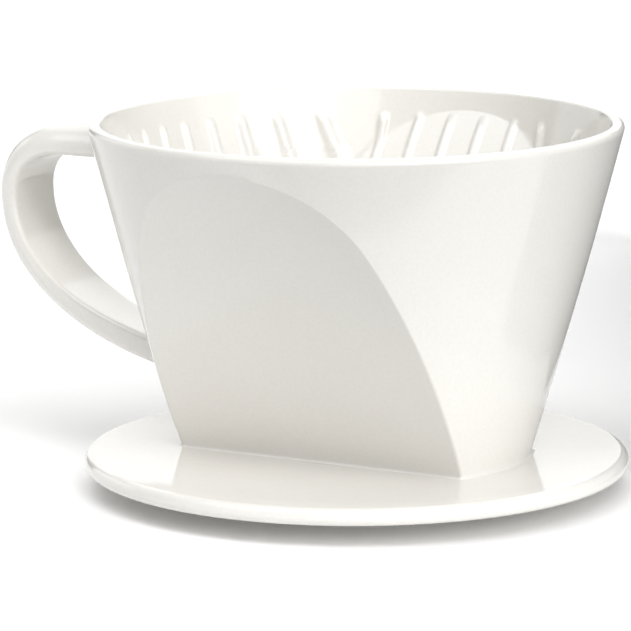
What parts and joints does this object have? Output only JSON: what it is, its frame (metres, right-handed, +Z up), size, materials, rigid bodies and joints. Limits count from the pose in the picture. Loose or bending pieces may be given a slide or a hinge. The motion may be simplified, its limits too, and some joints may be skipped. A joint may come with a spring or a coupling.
{
  "type": "pour over coffee dripper",
  "caption": "Glazed ceramic wedge-shaped coffee filter cone on a round saucer flange with a foot ring, a strap handle, inner paper ribs and drain holes.",
  "frame": {"origin": "on the table, at the middle of the whole object's length and width; the cone's axis is 15.65 mm towards +X", "axes": "+Z up, +X along the length away from the handle, +Y to a flat face of the cone"},
  "size_m": [0.1562, 0.125, 0.085],
  "materials": {
    "cone_glaze": "glossy warm white glaze",
    "flange_glaze": "glossy warm white glaze",
    "bare_clay": "unglazed fired clay, wiped smooth",
    "handle_glaze": "glossy warm white glaze"
  },
  "bodies": {
    "root": {"filter_cone": "cone_glaze", "saucer_flange": "flange_glaze", "foot_ring": "bare_clay", "handle": "handle_glaze"}
  },
  "joints": []
}
